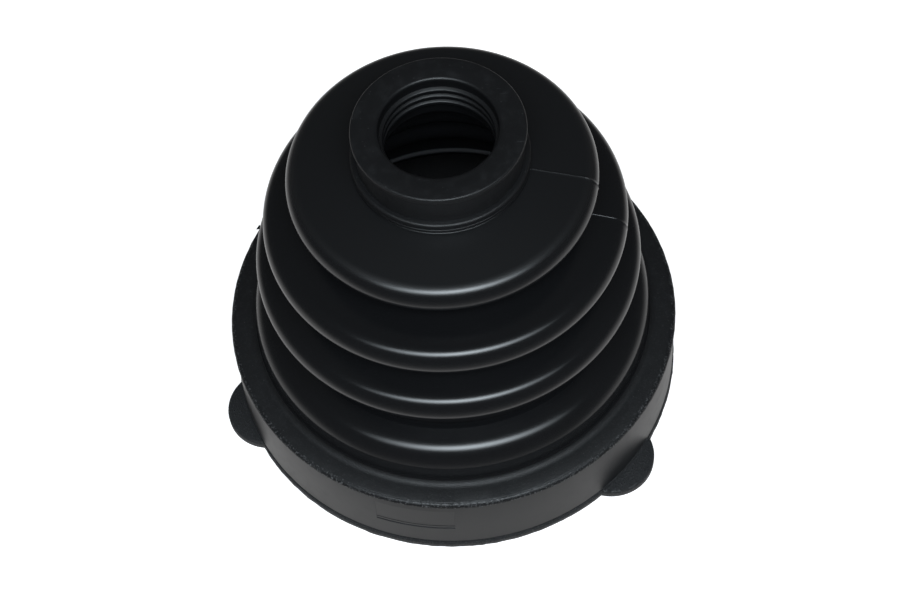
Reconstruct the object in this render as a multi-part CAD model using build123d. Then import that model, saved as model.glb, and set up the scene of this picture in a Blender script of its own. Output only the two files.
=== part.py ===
from build123d import *
import os
from math import acos, atan2, cos, hypot, radians, sin
from typing import NamedTuple

# Rubber bellows boot, moulded in one piece: a thick round collar that clamps on a
# housing, four folds that narrow upwards, and a small collar that grips a shaft.
# Millimetres, +Z up. The axis is Z and the origin is where it meets the bottom face.

# ---- Driving dimensions --------------------------------------------------------

WALL = 2.0                   # thickness of the folds, skin to skin

# Large collar, which a band clamp squeezes on the housing
LARGE_BORE_R = 42.5
LARGE_BORE_DEPTH = 15.5      # up to the shoulder that stops the housing's rim
LEAD_IN = 0.8                # chamfer that helps the rim in
COLLAR_HEIGHT = 19.8
LIP_R = 50.6                 # flange at the bottom edge that keeps the band on
LIP_HEIGHT = 2.2
LIP_ROUND = 0.6
RELIEF_R = 49.5              # narrow groove between the lip and the band's seat
RELIEF_HEIGHT = 0.6
SEAT_FOOT_R = 50.1           # the seat tapers a little, as a moulded face does
SEAT_TOP_R = 49.5
SEAT_TOP_Z = 18.4
BEAD_R = 49.9                # rim over the seat, level with the collar's top
BEAD_STEP = 0.4              # height in which the rim swells out from the seat
BEAD_ROUND = 0.9

# Three pull tabs on the lip
TAB_R = 9.8                  # each tab is part of a disc of this radius
TAB_CENTRE_R = 45.2
TAB_THICKNESS = 2.0
TAB_EDGE_ROUND = 0.6
TAB_COUNT = 3
FIRST_TAB_ANGLE = -44.0

# Folds, from the bottom one up: outside radius, height and roundness of each crest
CREST_R = (43.7, 41.0, 37.8, 31.5)
CREST_Z = (24.3, 43.2, 57.0, 70.5)
CREST_ROUND = (5.5, 3.8, 3.7, 3.5)
# The valleys between them, from the bottom one up
VALLEY_R = (35.8, 26.5, 20.6)
VALLEY_Z = (31.0, 50.2, 63.8)
VALLEY_ROUND = (0.5, 1.2, 1.2)
# The foot, where the bottom fold springs from the collar's top
FOOT_R = 43.8
FOOT_ROUND = 1.5

# Small collar, which a band clamp squeezes on the shaft
TOP_Z = 86.0
TOP_R = 17.3                 # lip over the seat
TOP_LIP_HEIGHT = 1.6
TOP_ROUND = 0.5
SMALL_SEAT_R = 16.7
SMALL_SEAT_HEIGHT = 6.2
SMALL_BEAD_R = 17.95         # bead under the seat
SMALL_BEAD_HEIGHT = 2.3
SMALL_BEAD_ROUND = 0.6
NECK_R = 17.3                # undercut between the bead and the top fold
NECK_ROUND = 0.4

# Bore of the small collar, with three ribs that seal on the shaft
BORE_R = 11.75
MOUTH_ROUND = 0.7
BORE_FLARE = 2.0             # round where the bore opens into the top fold
RIB_R = 11.0
RIB_COUNT = 3
RIB_PITCH = 1.9
TOP_RIB_DEPTH = 3.2          # from the top face to the middle of the first rib
RIB_TIP_WIDTH = 0.9
RIB_ROOT_WIDTH = 1.5
RIB_ROUND = 0.35
SUNK = 0.5                   # how far a rib's root runs into the wall it joins

# ---- The folds' skins ----------------------------------------------------------


class Round(NamedTuple):
    """A round of the folds in the half section, where x is the radius.

    The size is the radius of the outer skin there: above zero on a crest, which
    bends round a centre inside the boot, and below zero in a valley.
    """

    x: float
    z: float
    size: float

    def point(self, angle, depth):
        """Point whose outward normal is at this angle, at this depth in the wall."""
        reach = self.size - depth
        return Vector(self.x + reach * cos(angle), self.z + reach * sin(angle))


def flank_normal(lower, upper):
    """Angle of the outward normal of the straight flank between two rounds."""
    across, up = upper.x - lower.x, upper.z - lower.z
    lean = acos((lower.size - upper.size) / hypot(across, up))
    return atan2(up, across) - lean


def skin(rounds, depth, first_angle, last_angle):
    """Arcs and straight flanks of one skin, from the lowest round up."""
    flanks = [flank_normal(low, high) for low, high in zip(rounds, rounds[1:])]
    angles = [first_angle, *flanks, last_angle]
    edges = []
    for index, bend in enumerate(rounds):
        start, end = angles[index], angles[index + 1]
        if index:
            flank_foot = rounds[index - 1].point(start, depth)
            edges.append(Line(flank_foot, bend.point(start, depth)))
        middle = (start + end) / 2
        arc_points = [bend.point(angle, depth) for angle in (start, middle, end)]
        edges.append(ThreePointArc(*arc_points))
    return edges


def bellows_rounds():
    """Foot, crests and valleys in order, from the collar up to the top crest."""
    rounds = [Round(FOOT_R + FOOT_ROUND, COLLAR_HEIGHT + FOOT_ROUND, -FOOT_ROUND)]
    crests = [Round(r - size, z, size) for r, z, size in zip(CREST_R, CREST_Z, CREST_ROUND)]
    valleys = [Round(r + size, z, -size) for r, z, size in zip(VALLEY_R, VALLEY_Z, VALLEY_ROUND)]
    for crest, valley in zip(crests, valleys):
        rounds += [crest, valley]
    return [*rounds, crests[-1]]


# ---- Half sections -------------------------------------------------------------

LEVEL = 0.0                  # angle of a normal that points straight outwards
UPWARDS = radians(90)
SMALL_BEAD_TOP = TOP_Z - TOP_LIP_HEIGHT - SMALL_SEAT_HEIGHT
SMALL_BEAD_FOOT = SMALL_BEAD_TOP - SMALL_BEAD_HEIGHT


def large_collar_path():
    """Outline of the large collar, from the bore's shoulder down, round and up."""
    return Polyline(
        (FOOT_R - WALL, LARGE_BORE_DEPTH),
        (LARGE_BORE_R, LARGE_BORE_DEPTH),
        (LARGE_BORE_R, LEAD_IN),
        (LARGE_BORE_R + LEAD_IN, 0),
        (LIP_R, 0),
        (LIP_R, LIP_HEIGHT),
        (RELIEF_R, LIP_HEIGHT),
        (RELIEF_R, LIP_HEIGHT + RELIEF_HEIGHT),
        (SEAT_FOOT_R, LIP_HEIGHT + RELIEF_HEIGHT),
        (SEAT_TOP_R, SEAT_TOP_Z),
        (BEAD_R, SEAT_TOP_Z + BEAD_STEP),
        (BEAD_R, COLLAR_HEIGHT),
        (FOOT_R + FOOT_ROUND, COLLAR_HEIGHT),
    )


def small_collar_path():
    """Outline of the small collar, from the neck up over the top and down the bore."""
    return Polyline(
        (NECK_R, SMALL_BEAD_FOOT - NECK_ROUND),
        (NECK_R, SMALL_BEAD_FOOT),
        (SMALL_BEAD_R, SMALL_BEAD_FOOT),
        (SMALL_BEAD_R, SMALL_BEAD_TOP),
        (SMALL_SEAT_R, SMALL_BEAD_TOP),
        (SMALL_SEAT_R, TOP_Z - TOP_LIP_HEIGHT),
        (TOP_R, TOP_Z - TOP_LIP_HEIGHT),
        (TOP_R, TOP_Z),
        (BORE_R, TOP_Z),
        (BORE_R, SMALL_BEAD_FOOT),
    )


def corner(section, x, z):
    """The section's corner at this radius and height."""
    return section.vertices().sort_by_distance((x, z))[0]


def rounded(section, corners, size):
    """The section with the same round on each of these corners."""
    return fillet([corner(section, x, z) for x, z in corners], size)


def boot_section():
    """Half section of the whole boot, but for the ribs in its bore."""
    rounds = bellows_rounds()
    neck_outside = Round(NECK_R + NECK_ROUND, SMALL_BEAD_FOOT - NECK_ROUND, -NECK_ROUND)
    # Sized so that the inner skin, one wall deeper, turns into the bore's wall
    neck_inside = Round(BORE_R + BORE_FLARE, SMALL_BEAD_FOOT, WALL - BORE_FLARE)
    outer_skin = skin([*rounds, neck_outside], 0, UPWARDS, LEVEL)
    inner_skin = skin([*rounds, neck_inside], WALL, LEVEL, LEVEL)
    rise = Line(large_collar_path() @ 0, inner_skin[0] @ 0)
    outline = [large_collar_path(), *outer_skin, small_collar_path(), *inner_skin, rise]
    section = make_face(outline)
    lip_corners = [(LIP_R, 0), (LIP_R, LIP_HEIGHT)]
    section = rounded(section, lip_corners, LIP_ROUND)
    section = rounded(section, [(BEAD_R, COLLAR_HEIGHT)], BEAD_ROUND)
    bead_corners = [(SMALL_BEAD_R, SMALL_BEAD_FOOT), (SMALL_BEAD_R, SMALL_BEAD_TOP)]
    section = rounded(section, bead_corners, SMALL_BEAD_ROUND)
    top_corners = [(TOP_R, TOP_Z), (TOP_R, TOP_Z - TOP_LIP_HEIGHT)]
    section = rounded(section, top_corners, TOP_ROUND)
    return rounded(section, [(BORE_R, TOP_Z)], MOUTH_ROUND)


def rib_section(height):
    """Half section of one sealing rib, a blunt wedge with a narrow flat tip."""
    root, tip = RIB_ROOT_WIDTH / 2, RIB_TIP_WIDTH / 2
    wedge = make_face(Polyline(
        (BORE_R + SUNK, height - root),
        (BORE_R, height - root),
        (RIB_R, height - tip),
        (RIB_R, height + tip),
        (BORE_R, height + root),
        (BORE_R + SUNK, height + root),
        close=True,
    ))
    return rounded(wedge, [(RIB_R, height - tip), (RIB_R, height + tip)], RIB_ROUND)


def pull_tab(angle):
    """One flat tab: the part of a disc that stands outside the bore."""
    disc = Pos(TAB_CENTRE_R, 0) * Circle(TAB_R)
    blank = extrude(disc - Circle(LARGE_BORE_R + LEAD_IN), TAB_THICKNESS)
    rim = blank.edges().group_by(Axis.Z)[-1].sort_by(SortBy.RADIUS)
    outer_rim = [edge for edge in rim if edge.radius < LARGE_BORE_R]
    return Rot(0, 0, angle) * fillet(outer_rim, TAB_EDGE_ROUND)


# ---- The boot ------------------------------------------------------------------


def bellows_boot():
    section = boot_section()
    for number in range(RIB_COUNT):
        section += rib_section(TOP_Z - TOP_RIB_DEPTH - number * RIB_PITCH)
    boot = revolve(Plane.XZ * section, Axis.Z)
    for number in range(TAB_COUNT):
        boot += pull_tab(FIRST_TAB_ANGLE + number * 360 / TAB_COUNT)
    return boot


os.makedirs("parts", exist_ok=True)
boot = bellows_boot()
boot.label = "bellows_boot"
export_step(boot, "parts/bellows_boot.step")
print("volume", round(boot.volume), "mm3, box", boot.bounding_box().size)
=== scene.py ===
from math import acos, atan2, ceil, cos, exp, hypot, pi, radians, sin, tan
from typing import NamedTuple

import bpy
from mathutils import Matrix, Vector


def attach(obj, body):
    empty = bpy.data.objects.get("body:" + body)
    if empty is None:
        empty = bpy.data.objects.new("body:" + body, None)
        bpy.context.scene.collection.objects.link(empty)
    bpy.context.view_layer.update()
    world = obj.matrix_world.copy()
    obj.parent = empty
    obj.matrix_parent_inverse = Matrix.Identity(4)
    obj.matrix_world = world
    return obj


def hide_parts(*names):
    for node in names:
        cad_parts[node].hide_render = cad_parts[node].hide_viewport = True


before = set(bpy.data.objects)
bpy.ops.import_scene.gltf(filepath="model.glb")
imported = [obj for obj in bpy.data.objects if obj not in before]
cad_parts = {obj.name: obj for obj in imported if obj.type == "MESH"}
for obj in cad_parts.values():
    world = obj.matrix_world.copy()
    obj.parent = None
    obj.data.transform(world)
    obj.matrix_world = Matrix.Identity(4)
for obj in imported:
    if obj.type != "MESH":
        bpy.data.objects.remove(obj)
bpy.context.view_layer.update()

# %% [markdown]
# # Dressing a rubber bellows boot
#
# The real boot is one moulding of black rubber: a thick clamp collar at the bottom,
# four rounded folds, and a small collar that grips a shaft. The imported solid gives
# its size and place. Here the same moulding is drawn once more as a fine mesh, so
# that the folds carry long clean highlights, and it gets what a mould leaves on
# rubber: a parting line, a ragged lip, dull grain on the end faces and dust.
#
# Everything is in metres, but the drawing's sizes are easier to read in
# millimetres, so they are multiplied by `MM` where they meet Blender.

MM = 0.001

# %% [markdown]
# ## Camera
#
# The camera stands in front of the boot and well above it. Its place and angles are
# plain numbers, and its matrix is built from four simple moves: go to the place,
# turn about the vertical, tip down, and roll about the line of sight. Aiming it with
# a constraint would also work, but could not give the small roll.

# %% Camera
CAMERA_PLACE = Vector((0.0, -212.3, 370.3)) * MM
CAMERA_TURN = -0.10
CAMERA_PITCH = 58.67
CAMERA_ROLL = -4.74
SENSOR_WIDTH = 36.0
FOCAL_PIXELS = 1827.0
PICTURE_WIDTH = 901
NEAREST_SEEN = 10

camera_data = bpy.data.cameras.new("camera")
camera_data.sensor_width = SENSOR_WIDTH
camera_data.lens = SENSOR_WIDTH * FOCAL_PIXELS / PICTURE_WIDTH
camera_data.clip_start = NEAREST_SEEN * MM
camera = bpy.data.objects.new("camera", camera_data)
bpy.context.scene.collection.objects.link(camera)
camera.matrix_world = (
    Matrix.Translation(CAMERA_PLACE)
    @ Matrix.Rotation(radians(-CAMERA_TURN), 4, "Z")
    @ Matrix.Rotation(radians(90 - CAMERA_PITCH), 4, "X")
    @ Matrix.Rotation(radians(CAMERA_ROLL), 4, "Z")
)
bpy.context.scene.camera = camera
print("lens", round(camera_data.lens, 1), "mm")

# %% [markdown]
# ## Floor and light
#
# Black rubber shows almost nothing but reflections, so the room makes the picture.
# One soft lamp behind the camera draws the long highlight on each crest. A softbox is
# brightest in its middle, and nested oval lamps fade out in the same way, where a
# single lamp would leave hard ends on the highlights. Each stands a little behind the
# last, because a reflected ray counts only one of two lamps at the same distance. The
# floor is hidden from reflections only. The air below the horizon stands in for it
# there, so that its brightness can be graded with height, as black cards would do.

# %% Floor
FLOOR_SIZE = 6.0


def deselect_all():
    """Nothing selected and no active object, so that an operator acts on new work only."""
    bpy.ops.object.select_all(action="DESELECT")
    bpy.context.view_layer.objects.active = None


def select_only(piece):
    """This piece selected and active, and no other."""
    deselect_all()
    bpy.context.view_layer.objects.active = piece
    piece.select_set(True)


deselect_all()
bpy.ops.mesh.primitive_plane_add(size=FLOOR_SIZE, location=(0, 0, 0))
floor = bpy.context.object
floor.name = "floor"
floor.visible_glossy = False

# A disc in the boot's hollow hides the bright air below from its inner skin
HOLLOW_R, HOLLOW_LIFT, HOLLOW_SIDES = 43.0, 0.02, 96
deselect_all()
bpy.ops.mesh.primitive_circle_add(
    vertices=HOLLOW_SIDES, radius=HOLLOW_R * MM, fill_type="NGON",
    location=(0, 0, HOLLOW_LIFT * MM),
)
hollow_floor = bpy.context.object
hollow_floor.name = "floor_in_hollow"
print("floor", FLOOR_SIZE, "m across, disc in the hollow", 2 * HOLLOW_R, "mm across")

# %% Lamps
# Distances are in metres, the height aimed at is in millimetres, half sizes are in degrees
KEY_TURN = radians(-88)
KEY_RISE = radians(58)
KEY_DISTANCE, KEY_SPACING = 0.9, 0.02
KEY_AIM_HEIGHT = 45
KEY_TINT = (0.9, 1.0, 1.07)
KEY_STEPS = 8
KEY_HALF_WIDTH, KEY_HALF_HEIGHT = 36.0, 13.5
KEY_RADIANCE, KEY_FALLOFF = 11.4, 2.4


def soft_lamp(name, turn, rise, distance, half_width, half_height, radiance):
    """An oval area lamp that faces the boot, its half sizes in degrees as the boot sees them."""
    data = bpy.data.lights.new(name, "AREA")
    data.shape = "ELLIPSE"
    data.size = 2 * distance * tan(radians(half_width))
    data.size_y = 2 * distance * tan(radians(half_height))
    data.energy = radiance * 4 * (pi / 4 * data.size * data.size_y)
    data.color = KEY_TINT
    lamp = bpy.data.objects.new(name, data)
    bpy.context.scene.collection.objects.link(lamp)
    away = Vector((cos(turn) * cos(rise), sin(turn) * cos(rise), sin(rise)))
    lamp.location = away * distance + Vector((0, 0, KEY_AIM_HEIGHT * MM))
    lamp.rotation_mode = "QUATERNION"
    lamp.rotation_quaternion = away.to_track_quat("Z", "Y")
    return lamp


def key_level(step):
    """Radiance wanted halfway across this step, on a bell curve, and none past the last."""
    if step >= KEY_STEPS:
        return 0.0
    return KEY_RADIANCE * exp(-((KEY_FALLOFF * (step + 0.5) / KEY_STEPS) ** 2) / 2)


for step in range(KEY_STEPS):
    share = (step + 1) / KEY_STEPS
    soft_lamp(
        f"key_lamp_{step}", KEY_TURN, KEY_RISE, KEY_DISTANCE + step * KEY_SPACING,
        KEY_HALF_WIDTH * share, KEY_HALF_HEIGHT * share, key_level(step) - key_level(step + 1),
    )
print("brightest middle", round(key_level(0), 2), "and rim", round(key_level(KEY_STEPS - 1), 2))

# %% [markdown]
# ## Node trees as arithmetic
#
# A procedural finish is maths on the surface's own coordinates. Dragging Math nodes
# by hand hides the formula, so one small class wraps a socket and turns + - * / and
# ** into those nodes, and one function adds any other node.

# %% Sockets that add nodes when they are used in a sum
class Value:
    """An output socket of a node tree. Arithmetic on it adds Math nodes."""

    def __init__(self, tree, socket):
        self.tree, self.socket = tree, socket

    def maths(self, operation, *terms):
        return node(self.tree, "ShaderNodeMath", {"operation": operation}, *terms)

    def __add__(self, other):
        return self.maths("ADD", self, other)

    __radd__ = __add__

    def __sub__(self, other):
        return self.maths("SUBTRACT", self, other)

    def __rsub__(self, other):
        return self.maths("SUBTRACT", other, self)

    def __mul__(self, other):
        return self.maths("MULTIPLY", self, other)

    __rmul__ = __mul__

    def __truediv__(self, other):
        return self.maths("DIVIDE", self, other)

    def __pow__(self, other):
        return self.maths("POWER", self, other)


def node(tree, kind, settings, *inputs, output=0, **named):
    """Add a node, make its settings, then fill its sockets, and return an output."""
    made = tree.nodes.new(kind)
    for key, value in settings.items():
        if key == "stops":
            ramp = made.color_ramp
            while len(ramp.elements) < len(value):
                ramp.elements.new(0.5)
            for element, (place, colour) in zip(ramp.elements, value):
                element.position = place
                element.color = colour
        else:
            setattr(made, key, value)
    filled = list(enumerate(inputs)) + [(k.replace("_", " "), v) for k, v in named.items()]
    for key, value in filled:
        if isinstance(value, Value):
            tree.links.new(value.socket, made.inputs[key])
        elif value is not None:
            made.inputs[key].default_value = value
    return Value(tree, made.outputs[output]) if made.outputs else None


def step_up(value, start, end):
    """A smooth step: 0 where the value is below the start, 1 where it is past the end."""
    return node(
        value.tree, "ShaderNodeMapRange", {"interpolation_type": "SMOOTHSTEP"}, value, start, end,
    )


def blend(mask, colour, other):
    """The first colour where the mask is 0 and the other one where it is 1."""
    # Between its factor and its two colours, a Mix node has five sockets of other kinds
    others = [None] * 5
    return node(
        mask.tree, "ShaderNodeMix", {"data_type": "RGBA"}, mask, *others, colour, other, output=2,
    )


# %% Studio air: dim overhead, bright far below
# Light by elevation in degrees, on the camera's side of the boot and on the other sides
FRONT_AIR = (
    (-80, 0.75), (-60, 0.6), (-48, 0.4), (-36, 0.25), (-24, 0.15), (-10, 0.08), (5, 0.06), (60, 0.06),
)
SIDE_AIR = ((-80, 0.75), (-40, 0.7), (-25, 0.6), (-15, 0.35), (-5, 0.12), (5, 0.06), (60, 0.06))
FRONT_END, SIDE_START = -0.65, -0.1


def grey(level):
    """An opaque grey of this level."""
    return (level, level, level, 1.0)


def sky_stops(pairs):
    """Ramp stops from (elevation in degrees, light), placed by the direction's height."""
    return [((sin(radians(rise)) + 1) / 2, grey(light)) for rise, light in pairs]


def studio_world():
    """The air's light, by the height and the side that a ray looks to."""
    world = bpy.data.worlds.new("studio")
    bpy.context.scene.world = world
    world.use_nodes = True
    tree = world.node_tree
    tree.nodes.clear()
    direction = node(tree, "ShaderNodeTexCoord", {}, output="Generated")
    height = node(tree, "ShaderNodeSeparateXYZ", {}, direction, output="Z") * 0.5 + 0.5
    depth = node(tree, "ShaderNodeSeparateXYZ", {}, direction, output="Y")
    front = node(tree, "ShaderNodeValToRGB", {"stops": sky_stops(FRONT_AIR)}, height)
    sides = node(tree, "ShaderNodeValToRGB", {"stops": sky_stops(SIDE_AIR)}, height)
    glow = blend(step_up(depth, FRONT_END, SIDE_START), front, sides)
    light = node(tree, "ShaderNodeBackground", {}, glow, 1.0)
    node(tree, "ShaderNodeOutputWorld", {}, light)


studio_world()
bpy.context.scene.view_settings.view_transform = "Standard"
print("air graded over", len(FRONT_AIR), "heights in front and", len(SIDE_AIR), "at the sides")

# %% [markdown]
# ## The half section
#
# The boot is round, so its whole shape is one half section turned about the axis.
# The section is drawn as a chain: one vertex, extruded from point to point up the
# outside, over the top and down the inside. A lathe's template is made in the same
# way. The folds are circles joined by straight flanks that touch both, and the same
# circles, one wall thinner or thicker, give the inner skin.

# %% Sizes of the moulding, in millimetres
WALL = 2.0
LARGE_BORE_R, LARGE_BORE_DEPTH, LEAD_IN = 42.5, 15.5, 0.8
COLLAR_HEIGHT = 19.8
LIP_R, LIP_HEIGHT, LIP_ROUND = 50.6, 2.2, 0.6
RELIEF_R, RELIEF_HEIGHT = 49.5, 0.6
SEAT_FOOT_R, SEAT_TOP_R, SEAT_TOP_Z = 50.1, 49.5, 18.4
BEAD_R, BEAD_STEP, BEAD_ROUND = 49.9, 0.4, 0.9
CREST_R = (43.7, 41.0, 37.8, 31.5)
CREST_Z = (24.3, 43.2, 57.0, 70.5)
CREST_ROUND = (5.5, 3.8, 3.7, 3.5)
VALLEY_R = (35.8, 26.5, 20.6)
VALLEY_Z = (31.0, 50.2, 63.8)
VALLEY_ROUND = (0.5, 1.2, 1.2)
FOOT_R, FOOT_ROUND = 43.8, 2.0
TAB_R, TAB_CENTRE_R, TAB_THICKNESS, TAB_EDGE_ROUND = 9.8, 45.2, 2.0, 0.6
TAB_COUNT, FIRST_TAB_ANGLE = 3, radians(-44)
PLATE_START, PLATE_END = radians(-113.75), radians(-93.75)
PLATE_FOOT, PLATE_TOP = 9.9, 16.6
LINE_FOOT, LINE_TOP = 8.7, 9.35
TOP_Z, TOP_R, TOP_LIP_HEIGHT, TOP_ROUND = 86.0, 17.3, 1.6, 0.5
SMALL_SEAT_R, SMALL_SEAT_HEIGHT = 16.7, 6.2
SMALL_BEAD_R, SMALL_BEAD_HEIGHT, SMALL_BEAD_ROUND = 17.95, 2.3, 0.6
SMALL_BEAD_EDGE = 0.2
BEAD_LINE_RISE, BEAD_LINE_WIDTH, BEAD_LINE_DEPTH = 0.75, 0.3, 0.22
NECK_R, NECK_ROUND = 17.3, 0.4
BORE_R, MOUTH_ROUND, BORE_FLARE = 11.75, 0.7, 2.0
RIB_R, RIB_COUNT, RIB_PITCH, TOP_RIB_DEPTH = 11.0, 3, 1.9, 3.2
RIB_TIP, RIB_ROOT, RIB_ROUND = 0.45, 0.75, 0.35
SMALL_BEAD_TOP = TOP_Z - TOP_LIP_HEIGHT - SMALL_SEAT_HEIGHT
SMALL_BEAD_FOOT = SMALL_BEAD_TOP - SMALL_BEAD_HEIGHT

# %% Skins of the folds
OUTER_STEP, INNER_STEP, FEWEST_STEPS = radians(8), radians(18), 3


class Bend(NamedTuple):
    """A round of the folds: its centre, and its size, below zero in a valley."""

    x: float
    z: float
    size: float


def flank_angle(lower, upper):
    """Direction that the straight flank between two bends faces."""
    across, up = upper.x - lower.x, upper.z - lower.z
    return atan2(up, across) - acos((lower.size - upper.size) / hypot(across, up))


def skin(bends, depth, first, last, arc_step):
    """Points of one skin, this deep in the wall, from the lowest bend up."""
    angles = [first, *map(flank_angle, bends, bends[1:]), last]
    points = []
    for bend, start, end in zip(bends, angles, angles[1:]):
        steps = max(FEWEST_STEPS, ceil(abs(end - start) / arc_step))
        for step in range(steps + 1):
            angle = start + (end - start) * step / steps
            reach = bend.size - depth
            points.append((bend.x + reach * cos(angle), bend.z + reach * sin(angle)))
    return points


def fold_bends():
    """Foot, crests and valleys in order, from the collar up."""
    bends = [Bend(FOOT_R + FOOT_ROUND, COLLAR_HEIGHT + FOOT_ROUND, -FOOT_ROUND)]
    crests = [Bend(r - size, z, size) for r, z, size in zip(CREST_R, CREST_Z, CREST_ROUND)]
    valleys = [Bend(r + size, z, -size) for r, z, size in zip(VALLEY_R, VALLEY_Z, VALLEY_ROUND)]
    for crest, valley in zip(crests, valleys):
        bends += [crest, valley]
    return [*bends, crests[-1]]


bends = fold_bends()
neck_outside = Bend(NECK_R + NECK_ROUND, SMALL_BEAD_FOOT - NECK_ROUND, -NECK_ROUND)
neck_inside = Bend(BORE_R + BORE_FLARE, SMALL_BEAD_FOOT, WALL - BORE_FLARE)
outer_skin = skin([*bends, neck_outside], 0, pi / 2, 0, OUTER_STEP)
inner_skin = skin([*bends, neck_inside], WALL, 0, 0, INNER_STEP)
print("folds drawn with", len(outer_skin), "+", len(inner_skin), "points")

# %% Corners turned into arcs
CORNER_STEPS = 4


def rounded(corners):
    """Points of a line through (x, z, radius) corners, each corner turned into an arc."""
    points = [corners[0][:2]]
    for before, corner, after in zip(corners, corners[1:], corners[2:]):
        tip, radius = Vector(corner[:2]), corner[2]
        if not radius:
            points.append(tuple(tip))
            continue
        back = (Vector(before[:2]) - tip).normalized()
        ahead = (Vector(after[:2]) - tip).normalized()
        half = back.angle(ahead) / 2
        centre = tip + (back + ahead).normalized() * radius / sin(half)
        start = tip + back * radius / tan(half) - centre
        end = tip + ahead * radius / tan(half) - centre
        for step in range(CORNER_STEPS + 1):
            # slerp gives a direction of length 1, so it is scaled to the radius
            points.append(tuple(centre + start.slerp(end, step / CORNER_STEPS) * radius))
    return points + [corners[-1][:2]]


# %% Half section of each collar
def seat_radius(z):
    """Radius of the clamp seat's slight cone at this height."""
    foot = LIP_HEIGHT + RELIEF_HEIGHT
    return SEAT_FOOT_R + (SEAT_TOP_R - SEAT_FOOT_R) * (z - foot) / (SEAT_TOP_Z - foot)


plate_rows = [(seat_radius(z), z, 0) for z in (LINE_FOOT, LINE_TOP, PLATE_FOOT, PLATE_TOP)]
large_collar = rounded([
    (LARGE_BORE_R + LEAD_IN, 0, 0),
    (LIP_R, 0, LIP_ROUND),
    (LIP_R, LIP_HEIGHT, LIP_ROUND),
    (RELIEF_R, LIP_HEIGHT, 0),
    (RELIEF_R, LIP_HEIGHT + RELIEF_HEIGHT, 0),
    (SEAT_FOOT_R, LIP_HEIGHT + RELIEF_HEIGHT, 0),
    *plate_rows,
    (SEAT_TOP_R, SEAT_TOP_Z, 0),
    (BEAD_R, SEAT_TOP_Z + BEAD_STEP, 0),
    (BEAD_R, COLLAR_HEIGHT, BEAD_ROUND),
    (FOOT_R + FOOT_ROUND, COLLAR_HEIGHT, 0),
])
ribs = []
for number in range(RIB_COUNT):
    middle = TOP_Z - TOP_RIB_DEPTH - number * RIB_PITCH
    ribs += [
        (BORE_R, middle + RIB_ROOT, 0),
        (RIB_R, middle + RIB_TIP, RIB_ROUND),
        (RIB_R, middle - RIB_TIP, RIB_ROUND),
        (BORE_R, middle - RIB_ROOT, 0),
    ]
small_collar = rounded([
    (NECK_R, SMALL_BEAD_FOOT - NECK_ROUND, 0),
    (NECK_R, SMALL_BEAD_FOOT, 0),
    (SMALL_BEAD_R, SMALL_BEAD_FOOT, SMALL_BEAD_EDGE),
    (SMALL_BEAD_R, SMALL_BEAD_FOOT + BEAD_LINE_RISE, SMALL_BEAD_EDGE),
    (SMALL_BEAD_R - BEAD_LINE_DEPTH, SMALL_BEAD_FOOT + BEAD_LINE_RISE + BEAD_LINE_WIDTH / 2, 0),
    (SMALL_BEAD_R, SMALL_BEAD_FOOT + BEAD_LINE_RISE + BEAD_LINE_WIDTH, 0),
    (SMALL_BEAD_R, SMALL_BEAD_TOP, SMALL_BEAD_ROUND),
    (SMALL_SEAT_R, SMALL_BEAD_TOP, 0),
    (SMALL_SEAT_R, TOP_Z - TOP_LIP_HEIGHT, 0),
    (TOP_R, TOP_Z - TOP_LIP_HEIGHT, TOP_ROUND),
    (TOP_R, TOP_Z, TOP_ROUND),
    (BORE_R, TOP_Z, MOUTH_ROUND),
    *ribs,
    (BORE_R, SMALL_BEAD_FOOT, 0),
])
shoulder = [
    (FOOT_R - WALL, LARGE_BORE_DEPTH),
    (LARGE_BORE_R, LARGE_BORE_DEPTH),
    (LARGE_BORE_R, LEAD_IN),
    (LARGE_BORE_R + LEAD_IN, 0),
]
outside = [*large_collar, *outer_skin, *small_collar]
inside = [*reversed(inner_skin), *shoulder]
print("half section drawn with", len(outside) + len(inside), "points")
print("reach, mm:", round(max(x for x, z in outside), 2))
print("height, mm:", round(max(z for x, z in outside), 2))

# %% [markdown]
# ## Turning the section
#
# A plane merged to one vertex is the start of the chain. Each extrude adds an edge.
# Spin then sweeps the chain round in even steps, as a lathe would, and a merge joins
# the last step to the first. A Screw modifier would do the same, but the spin leaves
# plain meridians that later steps pick out by their angle.

# %% Draw the chain and spin it
SPIN_STEPS = 288
SAME_POINT = 1e-6
WELD_GAP = 0.002


def draw_chain(points):
    """A new object whose mesh is one open chain through these (x, z) points."""
    deselect_all()
    bpy.ops.mesh.primitive_plane_add(size=MM, location=(points[0][0] * MM, 0, points[0][1] * MM))
    bpy.ops.object.transform_apply(location=True)
    bpy.ops.object.mode_set(mode="EDIT")
    bpy.ops.mesh.select_all(action="SELECT")
    bpy.ops.mesh.merge(type="CENTER")
    for (x, z), (next_x, next_z) in zip(points, points[1:]):
        if hypot(next_x - x, next_z - z) > SAME_POINT:
            move = ((next_x - x) * MM, 0, (next_z - z) * MM)
            bpy.ops.mesh.extrude_vertices_move(TRANSFORM_OT_translate={"value": move})
    bpy.ops.object.mode_set(mode="OBJECT")
    return bpy.context.object


boot = draw_chain([*outside, *inside])
boot.name = "rubber_boot"
bpy.ops.object.mode_set(mode="EDIT")
bpy.ops.mesh.select_all(action="SELECT")
bpy.ops.mesh.spin(steps=SPIN_STEPS, angle=2 * pi, center=(0, 0, 0), axis=(0, 0, 1))
bpy.ops.mesh.select_all(action="SELECT")
bpy.ops.mesh.remove_doubles(threshold=WELD_GAP * MM)
bpy.ops.mesh.normals_make_consistent(inside=False)
bpy.ops.object.mode_set(mode="OBJECT")
print("spun into", len(boot.data.polygons), "faces")

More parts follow.
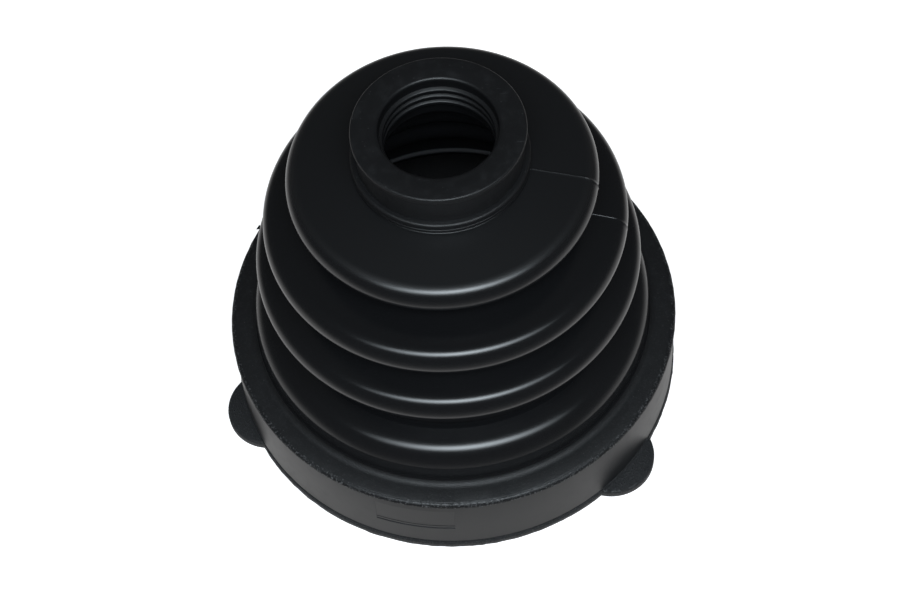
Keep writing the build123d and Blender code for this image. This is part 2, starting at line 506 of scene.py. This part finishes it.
# %% [markdown]
# ## The mould's own marks
#
# A loose insert in the mould leaves a plate on the clamp band with a fine groove
# under it. Both are faces of the spun mesh, picked by their angle and height and
# inset with a small depth. The two halves of the mould meet on a plane through the
# axis and leave a thin raised line across the upper folds, here on one side only. That
# is one bevelled meridian whose middle is pushed out unevenly by a displacement.

# %% Insert plate and groove on the band
BAND_MARGIN = 0.2
PLATE_INSET, PLATE_DEPTH = 0.07, -0.07
LINE_INSET, LINE_DEPTH = 0.1, -0.35


def deselect_mesh(piece):
    """Clear a mesh's selection from Object mode, one domain at a time."""
    for part in (piece.data.vertices, piece.data.edges, piece.data.polygons):
        part.foreach_set("select", [False] * len(part))


def inset_window(piece, low, high, thickness, depth):
    """Inset the band's faces between two heights, across the plate's width."""
    deselect_mesh(piece)
    for face in piece.data.polygons:
        centre = face.center
        in_turn = PLATE_START < atan2(centre.y, centre.x) < PLATE_END
        on_band = hypot(centre.x, centre.y) > (SEAT_TOP_R - BAND_MARGIN) * MM
        face.select = in_turn and on_band and low < centre.z / MM < high
    bpy.context.view_layer.objects.active = piece
    bpy.ops.object.mode_set(mode="EDIT")
    bpy.ops.mesh.select_mode(type="FACE")
    bpy.ops.mesh.inset(thickness=thickness * MM, depth=depth * MM, use_even_offset=True)
    bpy.ops.mesh.select_mode(type="VERT")
    bpy.ops.object.mode_set(mode="OBJECT")


inset_window(boot, PLATE_FOOT, PLATE_TOP, PLATE_INSET, PLATE_DEPTH)
inset_window(boot, LINE_FOOT, LINE_TOP, LINE_INSET, LINE_DEPTH)
print("with plate and groove", len(boot.data.polygons), "faces")

# %% Uneven marks: a group of vertices moved by clouds
def roughen(piece, name, chosen, grain, push, mid):
    """Move the chosen vertices along their normals by clouds of this grain, in millimetres.

    The push is how far the clouds span, and mid is the grey of theirs that moves nothing.
    """
    group = piece.vertex_groups.new(name=name)
    group.add(chosen, 1.0, "REPLACE")
    clouds = bpy.data.textures.new(name, "CLOUDS")
    clouds.noise_scale = grain * MM
    change = piece.modifiers.new(name, "DISPLACE")
    change.texture = clouds
    change.texture_coords = "LOCAL"
    change.vertex_group = name
    change.strength = push * MM
    change.mid_level = mid
    bpy.context.view_layer.objects.active = piece
    bpy.ops.object.modifier_apply(modifier=name)
    piece.vertex_groups.remove(piece.vertex_groups[name])
    print(name, "moved", len(chosen), "vertices")


# %% Parting line over the folds
PARTING_TURN = radians(-12.5)
PARTING_HALF_WIDTH, PARTING_HEIGHT = 0.14, 0.13
ABOVE_VALLEY = 1
OFF_LINE, OFF_SKIN = 0.004, 0.01
upper_folds = [(x, z) for x, z in outer_skin if z > VALLEY_Z[1] + ABOVE_VALLEY]


def on_parting(place):
    """True on the outer skin of the upper folds, on the side with the raised line."""
    aside = abs(place.x * sin(PARTING_TURN) - place.y * cos(PARTING_TURN))
    if aside > OFF_LINE * MM or place.x < 0:
        return False
    reach, height = hypot(place.x, place.y) / MM, place.z / MM
    return any(hypot(reach - x, height - z) < OFF_SKIN for x, z in upper_folds)


def select_edges_between(piece):
    """Select the edges whose two ends are selected."""
    for edge in piece.data.edges:
        edge.select = all(piece.data.vertices[i].select for i in edge.vertices)


deselect_mesh(boot)
for vertex in boot.data.vertices:
    vertex.select = on_parting(vertex.co)
select_edges_between(boot)
bpy.ops.object.mode_set(mode="EDIT")
bpy.ops.mesh.select_mode(type="EDGE")
bpy.ops.mesh.bevel(offset=PARTING_HALF_WIDTH * MM, segments=2, affect="EDGES")
bpy.ops.mesh.select_mode(type="VERT")
bpy.ops.object.mode_set(mode="OBJECT")
parting = [vertex.index for vertex in boot.data.vertices if on_parting(vertex.co)]
roughen(boot, "parting_line", parting, grain=3.0, push=PARTING_HEIGHT, mid=0.0)

# %% Ragged edges of the lip and of the bead at the band's top
LIP_EDGE_WIDTH, LIP_EDGE_MARGIN = 0.35, 0.05
BEAD_EDGE_WIDTH, BEAD_EDGE_MARGIN = 0.8, 0.01


def outermost(piece, reach, low, high):
    """Vertices that lie further out than this reach and between two heights."""
    return [
        vertex.index for vertex in piece.data.vertices
        if hypot(vertex.co.x, vertex.co.y) > reach * MM and low < vertex.co.z / MM < high
    ]


lip_edge = outermost(boot, LIP_R - LIP_EDGE_WIDTH, LIP_EDGE_MARGIN, LIP_HEIGHT - LIP_EDGE_MARGIN)
roughen(boot, "lip_edge", lip_edge, grain=1.6, push=0.3, mid=1.0)
bead_edge = outermost(boot, BEAD_R - BEAD_EDGE_WIDTH, SEAT_TOP_Z, COLLAR_HEIGHT - BEAD_EDGE_MARGIN)
roughen(boot, "bead_edge", bead_edge, grain=1.2, push=0.18, mid=1.0)

# %% [markdown]
# ## Pull tabs
#
# Three flat ears stand out from the lip, one third of a turn apart. A finger pulls on
# them to seat the collar. Each is a disc sunk into the collar, so a cylinder with its
# top rim bevelled is cut clear of the bore and joined by a boolean.

# %% Tabs, joined to the lip
TAB_SIDES = 72
TAB_ROOT_R = 46.5
CUTTER_SPARE = 1
SAME_HEIGHT = 0.01


def select_rim(piece, height):
    """Select the vertices and edges at this height, in millimetres."""
    deselect_mesh(piece)
    for vertex in piece.data.vertices:
        vertex.select = abs(vertex.co.z / MM - height) < SAME_HEIGHT
    select_edges_between(piece)


def boolean(piece, tool, operation):
    """Apply an exact boolean and throw the tool away."""
    select_only(piece)
    change = piece.modifiers.new(operation.lower(), "BOOLEAN")
    change.operation = operation
    change.solver = "EXACT"
    change.object = tool
    bpy.ops.object.modifier_apply(modifier=change.name)
    bpy.data.objects.remove(tool, do_unlink=True)


def cylinder(name, radius, low, high, sides, x=0.0, y=0.0):
    """A closed cylinder between two heights, all in millimetres."""
    deselect_all()
    bpy.ops.mesh.primitive_cylinder_add(
        vertices=sides, radius=radius * MM, depth=(high - low) * MM,
        location=(x * MM, y * MM, (low + high) / 2 * MM),
    )
    bpy.ops.object.transform_apply(location=True)
    bpy.context.object.name = name
    return bpy.context.object


for number in range(TAB_COUNT):
    angle = FIRST_TAB_ANGLE + number * 2 * pi / TAB_COUNT
    tab = cylinder(
        "tab", TAB_R, 0, TAB_THICKNESS, TAB_SIDES,
        TAB_CENTRE_R * cos(angle), TAB_CENTRE_R * sin(angle),
    )
    select_rim(tab, TAB_THICKNESS)
    bpy.ops.object.mode_set(mode="EDIT")
    bpy.ops.mesh.bevel(offset=TAB_EDGE_ROUND * MM, segments=4, affect="EDGES")
    bpy.ops.object.mode_set(mode="OBJECT")
    cutter = cylinder(
        "cutter", TAB_ROOT_R, -CUTTER_SPARE, TAB_THICKNESS + CUTTER_SPARE, SPIN_STEPS,
    )
    boolean(tab, cutter, "DIFFERENCE")
    boolean(boot, tab, "UNION")
print("with tabs", len(boot.data.polygons), "faces")

# %% A scrap of flash left on the second fold
TAG_CREST, TAG_SIZE, TAG_THICKNESS, TAG_SIDES = 1, 0.75, 0.12, 3
TAG_OUT = 0.2
tag_turn = PARTING_TURN + pi
tag_reach = CREST_R[TAG_CREST] + TAG_OUT
tag = cylinder(
    "flash_tag", TAG_SIZE, 0, TAG_THICKNESS, TAG_SIDES,
    tag_reach * cos(tag_turn), tag_reach * sin(tag_turn),
)
tag.location.z = CREST_Z[TAG_CREST] * MM
select_only(tag)
bpy.ops.object.transform_apply(location=True)
boolean(boot, tag, "UNION")
print("with the scrap of flash", len(boot.data.polygons), "faces")

# %% Smooth shading and the frame
SHARPEST_SMOOTH = radians(35)
select_only(boot)
bpy.ops.object.shade_smooth_by_angle(angle=SHARPEST_SMOOTH)
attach(boot, "root")
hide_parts("bellows_boot")
print("finished boot", len(boot.data.polygons), "faces")

# %% [markdown]
# ## Black rubber
#
# The boot has two kinds of skin. The folds are smooth and satin, as from polished
# steel. The end faces and the collars are dull and grainy, as from a coarser, machined
# part of the tool. One material covers both. It asks how high and how far from the
# axis a point lies, and blends its roughness and grain by that. Each mask below fades
# between two such distances. A painted highlight, a pale line, lies on the lowest inner
# ridge, which these lamps do not reach through the small bore. The undersides, the
# lowest valley and the upper inner ridges get painted shade in dead matt black.

# %% Where each kind of skin lies, in millimetres: reach from the axis, or height
COLLAR_REACH, COLLAR_TOP = (43.95, 44.4), (20.4, 21.6)
RIM_REACH, RIM_HEIGHT = (48.7, 49.0), (18.3, 18.5)
BAND_HEIGHTS, BAND_SOFT = (2.9, 18.2), 0.2
LIP_TOP = (2.2, 2.5)
SMALL_REACH, SMALL_HEIGHT = (12.2, 12.6), (75.5, 75.9)
TOP_FACE_HEIGHT = (85.4, 85.8)
SHOULDER_REACH, SHOULDER_HEIGHT = (29.5, 30.9), (69.5, 70.5)
SHINE_REACH = (28.2, 30.9)
FACING_DOWN = (0.03, 0.2)
VALLEY_HEIGHTS, VALLEY_REACHES = (30.2, 32.0), (35.5, 36.6)
VALLEY_HEIGHT_SOFT, VALLEY_REACH_SOFT = 0.3, 0.4
UPPER_RIDGE_HEIGHTS, UPPER_RIDGE_REACH = (59.0, 69.0), (21.2, 21.8)
MIDDLE_RIDGE_HEIGHTS, MIDDLE_RIDGE_REACH = (49.0, 56.0), (26.6, 27.2)
LAST_RIDGE_HEIGHTS, LAST_RIDGE_REACH = (31.3, 31.9), (35.2, 35.6)
UPPER_RIDGE_SOFT, MIDDLE_RIDGE_SOFT, LAST_RIDGE_SOFT = 1.0, 0.6, 0.4


def within(value, limits, soft):
    """1 between two limits, fading to 0 over a soft edge outside each of them."""
    low, high = limits
    return step_up(value, low - soft, low) * (1 - step_up(value, high, high + soft))


class Zones:
    """Masks of the boot's skin, each 1 in its own zone and fading to 0 outside it."""

    def __init__(self, tree, place):
        x, y, z = (node(tree, "ShaderNodeSeparateXYZ", {}, place, output=axis) / MM for axis in "XYZ")
        r = (x * x + y * y) ** 0.5
        # The large collar: its gritty rim, its band and lip, and the flat ring that is left
        self.large = step_up(r, *COLLAR_REACH) * (1 - step_up(z, *COLLAR_TOP))
        self.rim = self.large * step_up(z, *RIM_HEIGHT) * step_up(r, *RIM_REACH)
        self.band = self.large * within(z, BAND_HEIGHTS, BAND_SOFT)
        self.lip = self.large * (1 - step_up(z, *LIP_TOP))
        self.ring = self.large - self.band - self.lip
        # The small collar, its top face, and the shoulder of the first fold below it
        self.small = step_up(z, *SMALL_HEIGHT) * step_up(r, *SMALL_REACH)
        self.top_face = self.small * step_up(z, *TOP_FACE_HEIGHT)
        self.shoulder = step_up(z, *SHOULDER_HEIGHT) * (1 - step_up(r, *SHOULDER_REACH)) * (1 - self.small)
        self.shine = self.shoulder * step_up(r, *SHINE_REACH)
        # Painted shade on the undersides, the lowest valley and the upper inner ridges,
        # then a painted highlight on the lowest ridge
        facing = node(tree, "ShaderNodeTexCoord", {}, output="Normal")
        down = node(tree, "ShaderNodeSeparateXYZ", {}, facing, output="Z") * -1
        valley = within(z, VALLEY_HEIGHTS, VALLEY_HEIGHT_SOFT)
        valley = valley * within(r, VALLEY_REACHES, VALLEY_REACH_SOFT)
        upper = within(z, UPPER_RIDGE_HEIGHTS, UPPER_RIDGE_SOFT) * (1 - step_up(r, *UPPER_RIDGE_REACH))
        middle = within(z, MIDDLE_RIDGE_HEIGHTS, MIDDLE_RIDGE_SOFT)
        middle = middle * (1 - step_up(r, *MIDDLE_RIDGE_REACH))
        outer = step_up(down, *FACING_DOWN) + valley
        dark = node(tree, "ShaderNodeMath", {"operation": "MAXIMUM"}, outer, upper + middle)
        # Painted shade: where this mask is 1, the rubber gives way to dead matt black
        self.shaded = dark * (1 - self.large) * (1 - self.small)
        # A pale line on the lowest inner ridge: a painted highlight
        last = within(z, LAST_RIDGE_HEIGHTS, LAST_RIDGE_SOFT)
        self.painted_ridge_highlight = last * (1 - step_up(r, *LAST_RIDGE_REACH))


# %% What is on the skin: grain, patches, scratches, grit and dots
def noise(place, per_mm, detail=2.0):
    """Clouds of grey from 0 to 1, this many to a millimetre."""
    return node(
        place.tree, "ShaderNodeTexNoise", {}, place, Scale=per_mm / MM, Detail=detail, Roughness=0.6,
    )


class Marks:
    """Patterns of wear and grain in the boot's own space, each from 0 to 1."""

    def __init__(self, tree, place):
        self.fine = noise(place, per_mm=1.2)
        self.coarse = noise(place, per_mm=0.12)
        self.patches = step_up(noise(place, per_mm=0.35, detail=3.0), start=0.45, end=0.75)
        self.speck = noise(place, per_mm=3.0, detail=3.0)
        self.grit = step_up(noise(place, per_mm=2.4, detail=3.0), start=0.5, end=0.72)
        stretched = node(
            tree, "ShaderNodeVectorMath", {"operation": "MULTIPLY"}, place, (0.35, 5.0, 1.0),
        )
        lines = step_up(noise(stretched, per_mm=0.5, detail=1.0), start=0.68, end=0.76)
        self.scratches = lines * step_up(noise(place, per_mm=0.2), start=0.5, end=0.6)
        spots = node(tree, "ShaderNodeTexVoronoi", {}, place, Scale=0.7 / MM, output="Distance")
        self.dots = 1 - step_up(spots, start=0.05, end=0.11)


# %% Roughness, dust and relief by zone
BLACK = (0.0082, 0.0085, 0.0094, 1)
# The pale grey serves dust and also painted highlights
PALE_DUST_AND_HIGHLIGHT = (0.09, 0.092, 0.096, 1)
RUBBER_IOR = 1.5
FOLD_ROUGH, SHOULDER_ROUGH, RING_ROUGH, LIP_ROUGH = 0.19, 0.39, 0.5, 0.55
BAND_ROUGH, SMALL_ROUGH, RIM_ROUGH, COAT_ROUGH = 0.4, 0.42, 0.38, 0.19


def shift(value, mask, target):
    """The value itself where the mask is 0 and the target where it is 1."""
    return value + mask * (target - value)


def roughness_of(on, marks):
    """Satin folds and duller collars, each a little uneven."""
    scuffs = marks.patches * 0.08 - marks.scratches * on.top_face * 0.1
    rough = FOLD_ROUGH + (marks.coarse - 0.5) * 0.07
    rough = shift(rough, on.shoulder, SHOULDER_ROUGH)
    rough = shift(rough, on.ring, RING_ROUGH)
    rough = shift(rough, on.lip, LIP_ROUGH)
    rough = shift(rough, on.band, BAND_ROUGH + (marks.patches - 0.5) * 0.05)
    rough = shift(rough, on.small, SMALL_ROUGH + scuffs)
    return shift(rough, on.rim, RIM_ROUGH)


def dust_and_highlight_of(on, marks):
    """How much pale grey lies on the black: dust, most of it on the lip and the rim,
    whose grit is partly a painted highlight, and a painted highlight on the lowest inner ridge.
    """
    patches, grit = marks.patches, marks.grit
    # On the rim the pale grit is dust and partly a painted highlight on the bead
    dust = on.ring * (patches * 0.04 + grit * 0.13) + on.lip * (0.15 + grit * 0.4) + on.rim * grit
    dust = dust + on.band * (0.03 + patches * 0.06)
    dust = dust + on.top_face * (patches * 0.06 + marks.scratches * 0.15)
    # The lowest inner ridge gets a painted highlight in the pale grey
    return dust + (on.ring + on.small) * marks.dots * 0.4 + marks.dots * 0.04 + on.painted_ridge_highlight


def relief_of(on, marks):
    """Height of the grain, in millimetres."""
    relief = (on.ring - on.rim) * marks.speck * 0.07 + on.small * marks.speck * 0.03
    relief = relief + on.lip * marks.grit * 0.16 + on.rim * marks.grit * 0.07
    return relief + marks.fine * 0.002 - on.top_face * marks.scratches * 0.02


# %% The material put together
def rubber():
    """Black rubber with its zones and marks, and painted shade in dead matt black."""
    made = bpy.data.materials.new("black_rubber")
    made.use_nodes = True
    tree = made.node_tree
    shader = tree.nodes["Principled BSDF"]
    place = node(tree, "ShaderNodeTexCoord", {}, output="Object")
    on, marks = Zones(tree, place), Marks(tree, place)
    shader.inputs["IOR"].default_value = RUBBER_IOR
    shader.inputs["Coat IOR"].default_value = RUBBER_IOR
    shader.inputs["Coat Roughness"].default_value = COAT_ROUGH
    colour = blend(dust_and_highlight_of(on, marks), BLACK, PALE_DUST_AND_HIGHLIGHT)
    bump = node(tree, "ShaderNodeBump", {}, Height=relief_of(on, marks), Distance=MM, Strength=1.0)
    varied = {
        "Base Color": colour, "Roughness": roughness_of(on, marks), "Coat Weight": on.shine, "Normal": bump,
    }
    for name, value in varied.items():
        tree.links.new(value.socket, shader.inputs[name])

    # Painted shade: the undersides, the lowest valley and the upper inner ridges are dead
    # matt black, so they do not mirror the lamp into the flanks below them
    painted_shade = node(tree, "ShaderNodeBsdfDiffuse", {}, BLACK)
    finish = node(tree, "ShaderNodeMixShader", {}, on.shaded, Value(tree, shader.outputs["BSDF"]), painted_shade)
    tree.links.new(finish.socket, tree.nodes["Material Output"].inputs["Surface"])
    print("black rubber made with", len(tree.nodes), "nodes")
    return made


boot.data.materials.append(rubber())

# %% [markdown]
# ## Floor finish
#
# The floor is a light table: a white sheet that also glows, so that hardly any shadow
# shows on it. The sheet under the hollow is the same but does not glow.

# %% Light table
SHEET_WHITE, SHEET_ROUGH, SHEET_GLOW = 0.9, 0.6, 0.8


def light_table(name, glow):
    """A white sheet that glows this much."""
    made = bpy.data.materials.new(name)
    made.use_nodes = True
    shader = made.node_tree.nodes["Principled BSDF"]
    shader.inputs["Base Color"].default_value = grey(SHEET_WHITE)
    shader.inputs["Roughness"].default_value = SHEET_ROUGH
    shader.inputs["Emission Color"].default_value = grey(1.0)
    shader.inputs["Emission Strength"].default_value = glow
    return made


floor.data.materials.append(light_table("light_table", SHEET_GLOW))
hollow_floor.data.materials.append(light_table("shaded_sheet", 0.0))
print("sheet glows", SHEET_GLOW, "outside the hollow")
